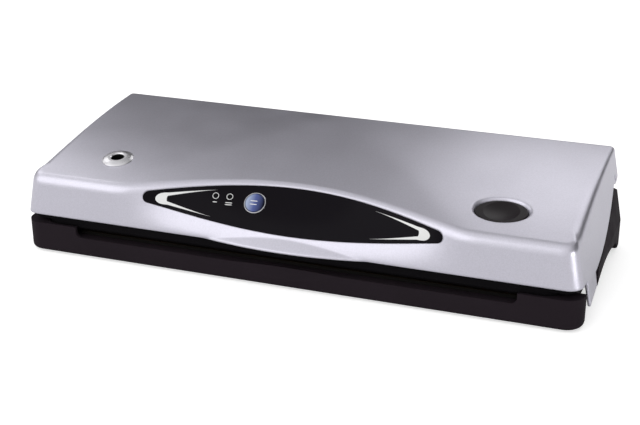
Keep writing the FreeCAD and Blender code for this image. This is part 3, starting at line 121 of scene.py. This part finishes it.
# Moulded finishes by slot: colour, roughness, fineness of the grain, depth of the grain and softness of
# the edges in millimetres, and strength of the shine
DULL, SATIN, PLAIN = 0.05, 0.17, 0.5
MOULDINGS = {
    "base_black": ((0.021, 0.0155, 0.020), 0.62, 1500.0, 0.02, 0.4, DULL),
    "liner_grey": ((0.004, 0.0034, 0.0044), 0.6, 1500.0, 0.02, 0.4, DULL),
    "key_black": ((0.012, 0.0085, 0.0105), 0.36, 1200.0, 0.012, 0.4, SATIN),
    "light_clear": ((0.004, 0.004, 0.005), 0.2, 900.0, 0.005, 0.4, DULL),
    "silicone_red": ((0.42, 0.07, 0.05), 0.5, 900.0, 0.02, 0.4, PLAIN),
    "rubber_black": ((0.016, 0.016, 0.017), 0.7, 900.0, 0.04, 0.4, PLAIN),
    "parts_dark": ((0.03, 0.03, 0.034), 0.45, 700.0, 0.02, 0.4, PLAIN),
    # the seal bar and its tape are painted near black as painted shade, since only shade shows of them in
    # the bag slot
    "bar_dark": ((0.010, 0.009, 0.0085), 0.6, 800.0, 0.03, 0.4, DULL),
    "tape_dark": ((0.022, 0.017, 0.012), 0.5, 2200.0, 0.02, 0.1, DULL),
    "guide_white": ((0.95, 0.95, 0.945), 0.45, 900.0, 0.02, 0.4, PLAIN),
}
MOULDED_DARK = 0.85         # darker tone of a moulding, as a share of its colour

# Metals by slot: colour, roughness, and how the fine lines are drawn out
METALS = {
    "plated_silver": ((0.50, 0.50, 0.53), 0.16, (1.0, 1.0, 6.0)),
    "steel": ((0.62, 0.62, 0.63), 0.28, (0.15, 1.0, 1.0)),
}
BAND_SCALE = 320.0          # fineness of wound wire and of stacked sheets
NOISE_LOW, NOISE_HIGH = 0.3, 0.7            # nearly all of a noise lies between these

# Studio
FLOOR_R, FLOOR_SIDES = 6.0, 96
FLOOR_GLOW, FLOOR_MIRRORED = 0.60, 0.11     # added to the floor as seen directly, and in reflections
WORLD_WAY = (-0.35, -0.75, 0.56)            # the pale side of the room
WORLD_FROM, WORLD_TO = -0.45, 0.8           # where the room starts to get paler, and where it ends
WORLD_FAR, WORLD_NEAR = 0.05, 0.90          # level away from that side and on it
LAMPS = (                   # name, place, aim, width, height, power
    ("key", (-1.7, -1.7, 1.75), (0.0, -0.05, 0.04), 3.2, 2.6, 17.0),
    ("rear_right", (0.40, 1.58, 1.15), (0.05, 0.0, 0.07), 1.6, 0.9, 5.7),
    ("rear_left", (-1.36, 0.85, 1.15), (-0.1, 0.0, 0.07), 0.9, 0.8, 2.3),
    ("corner", (0.9, -0.22, 0.07), (0.2, -0.08, 0.04), 0.25, 0.14, 1.0),
)


class Shader:
    """Principled material that is put together node by node."""

    def __init__(self, name, colour, rough, metallic=0.0, **sockets):
        self.material = bpy.data.materials.new(name)
        self.material.use_nodes = True
        self.tree = self.material.node_tree
        self.bsdf = self.tree.nodes["Principled BSDF"]
        self.bsdf.inputs["Base Color"].default_value = (*colour, 1.0)
        self.bsdf.inputs["Roughness"].default_value = rough
        self.bsdf.inputs["Metallic"].default_value = metallic
        for socket, value in sockets.items():
            self.bsdf.inputs[socket.replace("_", " ")].default_value = value
        self.place = self.add("ShaderNodeTexCoord").outputs["Object"]
        self.normal = None

    def add(self, kind, **values):
        """New node of a kind, with its own settings."""
        node = self.tree.nodes.new(kind)
        for key, value in values.items():
            setattr(node, key, value)
        return node

    def link(self, source, target):
        self.tree.links.new(source, target)

    def noise(self, scale, detail=4.0, roughness=0.55):
        """Cloudy pattern; a larger scale is finer."""
        node = self.add("ShaderNodeTexNoise")
        node.inputs["Scale"].default_value = scale
        node.inputs["Detail"].default_value = detail
        node.inputs["Roughness"].default_value = roughness
        self.link(self.place, node.inputs["Vector"])
        return node.outputs["Fac"]

    def cells(self, scale):
        """Pattern of small cells; a larger scale is finer."""
        node = self.add("ShaderNodeTexVoronoi")
        node.inputs["Scale"].default_value = scale
        self.link(self.place, node.inputs["Vector"])
        return node

    def spread(self, source, low, high, out_low=0.0, out_high=1.0):
        """Takes the span from low to high to the span from out_low to out_high."""
        node = self.add("ShaderNodeMapRange")
        node.inputs["From Min"].default_value = low
        node.inputs["From Max"].default_value = high
        node.inputs["To Min"].default_value = out_low
        node.inputs["To Max"].default_value = out_high
        self.link(source, node.inputs["Value"])
        return node.outputs["Result"]

    def vector(self, operation, source, other=None):
        """Vector operation on a link and, where it takes two, on a fixed vector."""
        node = self.add("ShaderNodeVectorMath", operation=operation)
        self.link(source, node.inputs[0])
        if other is not None:
            node.inputs[1].default_value = other
        return node.outputs

    def mix(self, factor, first, second):
        """Mix of two colours, each of them fixed or a link."""
        node = self.add("ShaderNodeMix", data_type="RGBA")
        self.link(factor, node.inputs[0])
        # inputs 6 and 7 and output 2 are the colour sockets of this node
        for socket, colour in ((node.inputs[6], first), (node.inputs[7], second)):
            if hasattr(colour, "links"):
                self.link(colour, socket)
            else:
                socket.default_value = (*colour, 1.0)
        return node.outputs[2]

    def colours(self, factor, first, second):
        """Base colour that wanders between two tones."""
        self.link(self.mix(factor, first, second), self.bsdf.inputs["Base Color"])

    def gloss(self, factor, low, high):
        """Roughness that wanders between two values."""
        rough = self.spread(factor, NOISE_LOW, NOISE_HIGH, low, high)
        self.link(rough, self.bsdf.inputs["Roughness"])

    def soft_edges(self, radius):
        """Shading that rounds the edges off."""
        node = self.add("ShaderNodeBevel", samples=6)
        node.inputs["Radius"].default_value = radius
        self.normal = node.outputs["Normal"]
        self.link(self.normal, self.bsdf.inputs["Normal"])

    def relief(self, height, depth, strength=1.0):
        """Bump of a real depth, over any bump already there."""
        node = self.add("ShaderNodeBump")
        node.inputs["Strength"].default_value = strength
        node.inputs["Distance"].default_value = depth
        self.link(height, node.inputs["Height"])
        if self.normal is not None:
            self.link(self.normal, node.inputs["Normal"])
        self.normal = node.outputs["Normal"]
        self.link(self.normal, self.bsdf.inputs["Normal"])


def moulded(name, colour, rough, grain, depth, edge, shine):
    """Moulded plastic or rubber: even colour with a faint drift, fine skin texture and softened edges."""
    shader = Shader(name, colour, rough, Specular_IOR_Level=shine)
    dark = tuple(c * MOULDED_DARK for c in colour)
    drift = shader.spread(shader.noise(scale=14.0), NOISE_LOW, NOISE_HIGH)
    shader.colours(drift, colour, dark)
    shader.gloss(shader.noise(scale=60.0), low=rough * 0.9, high=rough * 1.12)
    shader.soft_edges(radius=edge * MM)
    shader.relief(shader.noise(scale=grain, detail=2.0), depth=depth * MM)
    return shader


def beyond(shader, point, way):
    """Distance past a line of the lid top, soft at the line and zero before it."""
    offset = shader.vector("SUBTRACT", shader.place, point)["Vector"]
    along = shader.vector("DOT_PRODUCT", offset, way)["Value"]
    soft = shader.add("ShaderNodeMath", operation="SMOOTH_MAX")
    soft.inputs[1].default_value = 0.0
    soft.inputs[2].default_value = CREASE_SOFT
    shader.link(along, soft.inputs[0])
    return soft.outputs[0]


def silver_paint():
    """Silver paint: metal flakes of slightly different tone under a satin lacquer."""
    shader = Shader("silver_paint", SILVER, rough=0.34, metallic=0.88, Coat_Weight=0.15, Coat_Roughness=0.3)
    flakes = shader.cells(scale=1700.0)
    shader.colours(flakes.outputs["Color"], SILVER, SILVER_FLAKE)
    shader.gloss(shader.noise(scale=25.0), low=0.32, high=0.37)
    shader.soft_edges(radius=2.0 * MM)
    for point, way in CREASES:
        fall = shader.spread(beyond(shader, point, way), 0.0, 1.0, out_high=-CREASE_FALL)
        shader.relief(fall, depth=1.0)
    shader.relief(flakes.outputs["Distance"], depth=0.004 * MM, strength=0.5)
    return shader


def port_collar():
    """Satin plated collar; its bore is painted near black as painted shade."""
    shader = Shader("port_collar", COLLAR, rough=0.3, metallic=1.0)
    offset = shader.vector("SUBTRACT", shader.place, PORT_AT)["Vector"]
    across = shader.vector("CROSS_PRODUCT", offset, PORT_AXIS)["Vector"]
    radius = shader.vector("LENGTH", across)["Value"]
    outside = shader.spread(radius, PORT_SHADE_R, PORT_SHADE_R + PORT_SHADE_EDGE)
    tone = shader.mix(shader.noise(scale=200.0), COLLAR_DIM, COLLAR_PALE)
    shader.colours(outside, BORE_SHADE, tone)
    shader.link(outside, shader.bsdf.inputs["Metallic"])
    shader.gloss(shader.noise(scale=300.0), low=0.26, high=0.34)
    shader.soft_edges(radius=0.4 * MM)
    shader.relief(shader.noise(scale=900.0, detail=2.0), depth=0.004 * MM)
    return shader


def brushed(name, colour, rough, stretch):
    """Drawn or plated metal with fine lines along one axis."""
    shader = Shader(name, colour, rough, metallic=1.0)
    mapping = shader.add("ShaderNodeMapping")
    mapping.inputs["Scale"].default_value = stretch
    shader.link(shader.place, mapping.inputs["Vector"])
    shader.place = mapping.outputs["Vector"]
    lines = shader.noise(scale=900.0, detail=3.0)
    shader.gloss(lines, low=rough * 0.8, high=rough * 1.3)
    shader.soft_edges(radius=0.2 * MM)
    shader.relief(lines, depth=0.006 * MM, strength=0.4)
    return shader


def foam():
    """Open-cell foam rubber, its cell pits painted darker as painted shade."""
    shader = Shader("foam", FOAM, rough=0.95)
    cells = shader.cells(scale=1100.0)
    shader.colours(cells.outputs["Distance"], FOAM_PIT_SHADE, FOAM_WALL)
    shader.relief(cells.outputs["Distance"], depth=0.25 * MM)
    return shader


def banded(name, colour, gap_shade, ridge, rough, along, wobble, depth):
    """Metal in fine bands side by side, with painted shade in the gaps between the bands."""
    shader = Shader(name, colour, rough, metallic=0.9)
    node = shader.add("ShaderNodeTexWave", wave_type="BANDS", bands_direction=along)
    node.inputs["Scale"].default_value = BAND_SCALE
    node.inputs["Distortion"].default_value = wobble
    shader.link(shader.place, node.inputs["Vector"])
    shader.colours(node.outputs["Fac"], gap_shade, ridge)
    shader.relief(node.outputs["Fac"], depth=depth * MM)
    return shader


def winding():
    """Lacquered copper turns, with painted shade between them."""
    return banded("winding", COPPER, COPPER_GAP_SHADE, COPPER_TURN, rough=0.3, along="Z", wobble=0.6, depth=0.2)


def laminated():
    """Stack of thin steel sheets, with painted shade between them."""
    return banded("laminated", CORE, CORE_GAP_SHADE, CORE_SHEET, rough=0.45, along="Y", wobble=0.0, depth=0.1)


def circuit():
    """Green board with copper tracks under the lacquer."""
    shader = Shader("circuit", BOARD, rough=0.3)
    node = shader.add("ShaderNodeTexBrick")
    node.inputs["Scale"].default_value = 160.0
    for socket, colour in (("Color1", BOARD), ("Color2", BOARD_PATCH), ("Mortar", BOARD_TRACK)):
        node.inputs[socket].default_value = (*colour, 1.0)
    shader.link(shader.place, node.inputs["Vector"])
    shader.link(node.outputs["Color"], shader.bsdf.inputs["Base Color"])
    shader.relief(node.outputs["Fac"], depth=0.05 * MM)
    return shader


def clear_hose():
    """Clear soft plastic with a faintly uneven skin."""
    shader = Shader("hose_clear", HOSE, rough=0.15, IOR=1.46, Transmission_Weight=0.85)
    shader.gloss(shader.noise(scale=120.0), low=0.12, high=0.21)
    shader.relief(shader.noise(scale=400.0, detail=2.0), depth=0.01 * MM)
    return shader


def panel_gloss():
    """Gloss black lens foil, with faint fine scuffs in its shine."""
    shader = Shader("panel_gloss", PANEL, rough=0.16, Specular_IOR_Level=0.065)
    shader.gloss(shader.noise(scale=300.0, detail=6.0), low=0.14, high=0.20)
    shader.soft_edges(radius=0.4 * MM)
    shader.relief(shader.noise(scale=90.0, detail=2.0), depth=0.006 * MM)
    return shader


def blue_key():
    """Blue moulding with painted light: a painted highlight pale at its left edge, blue in the middle and
    painted shade deep to the right.
    """
    low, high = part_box("seal_button")
    middle = (low[0] + high[0]) / 2
    shader = Shader("blue_key", KEY, rough=0.25, Specular_IOR_Level=0.07)
    split = shader.add("ShaderNodeSeparateXYZ")
    shader.link(shader.place, split.inputs[0])
    to_blue = shader.spread(split.outputs["X"], low[0] + KEY_LIT_EDGE_W, middle)
    to_shade = shader.spread(split.outputs["X"], middle, high[0])
    lit_cloud = shader.mix(shader.noise(scale=90.0), KEY_LIT_LEFT, KEY_LIT_CLOUD)
    blue = shader.mix(to_blue, lit_cloud, KEY_BLUE)
    shader.colours(to_shade, blue, KEY_SHADE_RIGHT)
    shader.soft_edges(radius=0.3 * MM)
    shader.relief(shader.noise(scale=600.0, detail=2.0), depth=0.006 * MM)
    return shader


def finishes():
    """One finish for each slot of the record."""
    looks = {slot: moulded(slot, *values) for slot, values in MOULDINGS.items()}
    looks.update({slot: brushed(slot, *values) for slot, values in METALS.items()})
    looks["lid_silver"] = silver_paint()
    looks["panel_black"] = panel_gloss()
    looks["key_blue"] = blue_key()
    looks["foam_grey"] = foam()
    looks["hose_clear"] = clear_hose()
    looks["core_steel"] = laminated()
    looks["copper"] = winding()
    looks["board_green"] = circuit()
    return looks


def dress():
    """Gives each CAD node the finish of its record slot."""
    looks = finishes()
    special = {"port_fitting": port_collar()}
    for subpart in frame["record"]["subparts"]:
        node = subpart["node"]
        look = special.get(node) or looks[subpart["material_slot"]]
        mesh = nodes[node].data
        mesh.materials.clear()
        mesh.materials.append(look.material)
    return looks


class Face:
    """Skin of a CAD node that print is laid on."""

    def __init__(self, node):
        mesh = nodes[node].data
        points = [v.co for v in mesh.vertices]
        self.tree = BVHTree.FromPolygons(points, [p.vertices for p in mesh.polygons])

    def seen_from_front(self, x, z):
        """Point of the skin behind (x, z) millimetres, looked at along +Y, and the way it faces."""
        start = Vector((x * MM, FRONT_Y, z * MM))
        point, normal, *_ = self.tree.ray_cast(start, Vector((0, 1, 0)))
        return point, normal

    def nearest(self, point):
        """Point of the skin that is nearest, and the way it faces."""
        place, normal, *_ = self.tree.find_nearest(point)
        return place, normal


def printed(name, face, rows, body, look, closed=False):
    """Thin print on a face: each row is a pair of points across it, and the rows follow its length."""
    form = bmesh.new()
    rings = []
    for row in rows:
        top, low = [], []
        for point in row:
            place, normal = face.nearest(point)
            top.append(form.verts.new(place + normal * PRINT_LIFT))
            low.append(form.verts.new(place - normal * PRINT_LIFT))
        rings.append([top[0], top[1], low[1], low[0]])
    following = rings[1:] + rings[:1] if closed else rings[1:]
    for here, there in zip(rings, following):
        for i in range(len(here)):
            j = (i + 1) % len(here)
            form.faces.new((here[i], there[i], there[j], here[j]))
    if not closed:
        form.faces.new(rings[0])
        form.faces.new(rings[-1][::-1])
    bmesh.ops.recalc_face_normals(form, faces=form.faces)
    mesh = bpy.data.meshes.new(name)
    form.to_mesh(mesh)
    form.free()
    piece = bpy.data.objects.new(name, mesh)
    bpy.context.collection.objects.link(piece)
    mesh.materials.append(look.material)
    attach(piece, body)


def arc_height(x, middle_z):
    """Height of a panel edge at x: an arc through both tips and the middle."""
    rise = middle_z - PANEL_TIP_Z
    radius = (PANEL_EDGE_HALF ** 2 + rise ** 2) / (2 * rise)
    return middle_z - radius + math.copysign(math.sqrt(radius ** 2 - x ** 2), radius)


def bracket(side, face, look):
    """Arrow-shaped white print inside one tip of the panel, thick at the bend and fine at the ends."""
    upper, lower, bend = [], [], []
    for i in range(BRACKET_STEPS + 1):
        share = i / BRACKET_STEPS
        x = BRACKET_END_X + (BRACKET_BEND_X - BRACKET_END_X) * share
        width = BRACKET_W * share ** BRACKET_TAPER + BRACKET_FINE
        high = arc_height(x, PANEL_TOP_Z) - BRACKET_INSET
        low = arc_height(x, PANEL_LOW_Z) + BRACKET_INSET
        upper.append(((x, high), (x, high - width)))
        lower.append(((x, low), (x, low + width)))
    for i in range(1, BRACKET_STEPS):
        turn = math.pi * i / BRACKET_STEPS
        share = (1 - math.cos(turn)) / 2
        bulge = math.sin(turn) ** BRACKET_ROUND
        pair = []
        for end, reach in ((0, BRACKET_TIP_X - BRACKET_BEND_X), (1, BRACKET_HOLLOW)):
            (x0, z0), (_, z1) = upper[-1][end], lower[-1][end]
            pair.append((x0 + reach * bulge, z0 + (z1 - z0) * share))
        bend.append(tuple(pair))
    rows = [[face.seen_from_front(PANEL_X + side * x, z)[0] for x, z in pair]
            for pair in upper + bend + lower[::-1]]
    printed("bracket_left" if side < 0 else "bracket_right", face, rows, "lid", look)


def tangents(normal):
    """Level and upward directions along a slanted face."""
    level = Vector((0, 0, 1)).cross(normal).normalized()
    return level, normal.cross(level).normalized()


def bar_print(name, face, place, level, up, half, look, body):
    """Short bar with rounded ends."""
    rows = []
    for i in range(-MARK_STEPS, MARK_STEPS + 1):
        share = i / MARK_STEPS
        height = MARK_HALF_H * math.sqrt(max(1 - share ** MARK_BLUNT, MARK_END))
        middle = place + level * half * share * MM
        rows.append([middle + up * side * height * MM for side in (1, -1)])
    printed(name, face, rows, body, look)


def lamp_print(name, face, look, bars):
    """White ring round a lamp and small bars below it."""
    low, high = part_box(name)
    middle = (low + high) / 2
    guess = middle + Vector(REACH_OUT).normalized() * LAMP_FRONT
    beside = [face.seen_from_front(guess.x / MM + step, guess.z / MM)[1]
              for step in (-MARK_DROP, MARK_DROP)]
    normal = (beside[0] + beside[1]).normalized()
    place = middle + normal * LAMP_FRONT
    level, up = tangents(normal)
    start = normal * LAMP_RING_START
    rows = []
    for i in range(LAMP_RING_STEPS):
        turn = 2 * math.pi * i / LAMP_RING_STEPS
        ray = level * math.cos(turn) + up * math.sin(turn)
        radii = (LAMP_RING_R, LAMP_RING_R + LAMP_RING_W)
        rows.append([place + (ray * radius + start) * MM for radius in radii])
    printed(name + "_ring", face, rows, "lid", look, closed=True)
    for i, half in enumerate(bars):
        spot = place - up * (MARK_DROP + MARK_STEP * i) * MM
        bar_print("%s_mark_%d" % (name, i), face, spot, level, up, half, look, "lid")


def key_print(look):
    """Two bars on the seal button."""
    key = Face("seal_button")
    low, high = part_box("seal_button")
    place, normal = key.nearest((low + high) / 2 + Vector(REACH_OUT))
    level, up = tangents(normal)
    for i, rise in enumerate((KEY_MARK_RISE, -KEY_MARK_RISE)):
        spot = place + up * rise * MM
        bar_print("key_mark_%d" % i, key, spot, level, up, KEY_MARK_HALF, look, "seal_button")


def print_panel(look):
    """All the white print of the panel and its button."""
    panel = Face("control_panel")
    for side in (-1, 1):
        bracket(side, panel, look)
    for name, bars in LAMP_BARS:
        lamp_print(name, panel, look, bars)
    key_print(look)


def press_spring():
    """Gives the release spring a mesh of its own."""
    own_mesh(nodes["release_spring"])


def add_camera():
    """Camera at its place, turned by yaw, pitch and roll."""
    yaw, pitch, roll = (math.radians(a) for a in (CAMERA_YAW, CAMERA_PITCH, CAMERA_ROLL))
    level = Vector((math.cos(yaw), math.sin(yaw), 0))
    ahead = Vector((-math.sin(yaw), math.cos(yaw), 0))
    look = ahead * math.cos(pitch) - Vector((0, 0, math.sin(pitch)))
    rise = ahead * math.sin(pitch) + Vector((0, 0, math.cos(pitch)))
    right = level * math.cos(roll) + rise * math.sin(roll)
    up = rise * math.cos(roll) - level * math.sin(roll)
    data = bpy.data.cameras.new("camera")
    data.lens = CAMERA_LENS
    camera = bpy.data.objects.new("camera", data)
    turn = Matrix((right, up, -look)).transposed().to_4x4()
    camera.matrix_world = Matrix.Translation(CAMERA_AT) @ turn
    bpy.context.collection.objects.link(camera)
    bpy.context.scene.camera = camera


def add_lamp(name, place, aim, width, height, power):
    """Soft rectangular lamp that faces its aim."""
    data = bpy.data.lights.new(name, "AREA")
    data.shape = "RECTANGLE"
    data.size, data.size_y = width, height
    data.energy = power
    lamp = bpy.data.objects.new(name, data)
    lamp.location = place
    lamp.rotation_mode = "QUATERNION"
    lamp.rotation_quaternion = (Vector(aim) - Vector(place)).to_track_quat("-Z", "Y")
    bpy.context.collection.objects.link(lamp)


def floor_material():
    """White paper; a share of light is added for each kind of ray that looks at it."""
    material = bpy.data.materials.new("floor")
    material.use_nodes = True
    tree = material.node_tree
    tree.nodes.clear()
    paper = tree.nodes.new("ShaderNodeBsdfDiffuse")
    paper.inputs["Color"].default_value = (*PAPER, 1.0)
    glow = tree.nodes.new("ShaderNodeEmission")
    both = tree.nodes.new("ShaderNodeAddShader")
    out = tree.nodes.new("ShaderNodeOutputMaterial")
    path = tree.nodes.new("ShaderNodeLightPath")
    shares = (("Is Camera Ray", FLOOR_GLOW), ("Is Glossy Ray", FLOOR_MIRRORED),
              ("Is Transmission Ray", FLOOR_MIRRORED))
    total = None
    for ray, share in shares:
        level = tree.nodes.new("ShaderNodeMath")
        level.operation = "MULTIPLY_ADD"
        level.inputs[1].default_value = share
        level.inputs[2].default_value = 0.0
        tree.links.new(path.outputs[ray], level.inputs[0])
        if total is not None:
            tree.links.new(total, level.inputs[2])
        total = level.outputs[0]
    tree.links.new(total, glow.inputs["Strength"])
    tree.links.new(paper.outputs[0], both.inputs[0])
    tree.links.new(glow.outputs[0], both.inputs[1])
    tree.links.new(both.outputs[0], out.inputs["Surface"])
    return material


def add_floor():
    """Pale sheet under the object; it stays white where nothing shades it."""
    bpy.ops.mesh.primitive_circle_add(vertices=FLOOR_SIDES, radius=FLOOR_R, fill_type="NGON")
    floor = bpy.context.object
    floor.name = "floor"
    floor.data.materials.append(floor_material())


def add_world():
    """Plain studio: pale to the front and overhead, dimmer behind."""
    world = bpy.data.worlds.new("studio")
    world.use_nodes = True
    bpy.context.scene.world = world
    tree = world.node_tree
    background = tree.nodes["Background"]
    background.inputs["Color"].default_value = (*WHITE, 1.0)
    place = tree.nodes.new("ShaderNodeTexCoord")
    along = tree.nodes.new("ShaderNodeVectorMath")
    along.operation = "DOT_PRODUCT"
    along.inputs[1].default_value = WORLD_WAY
    ramp = tree.nodes.new("ShaderNodeMapRange")
    ramp.interpolation_type = "SMOOTHSTEP"
    ramp.inputs["From Min"].default_value = WORLD_FROM
    ramp.inputs["From Max"].default_value = WORLD_TO
    ramp.inputs["To Min"].default_value = WORLD_FAR
    ramp.inputs["To Max"].default_value = WORLD_NEAR
    tree.links.new(place.outputs["Generated"], along.inputs[0])
    tree.links.new(along.outputs["Value"], ramp.inputs["Value"])
    tree.links.new(ramp.outputs["Result"], background.inputs["Strength"])


looks = dress()
print_panel(looks["guide_white"])
press_spring()
add_camera()
add_floor()
add_world()
for lamp in LAMPS:
    add_lamp(*lamp)

bpy.context.scene.view_settings.view_transform = "Standard"
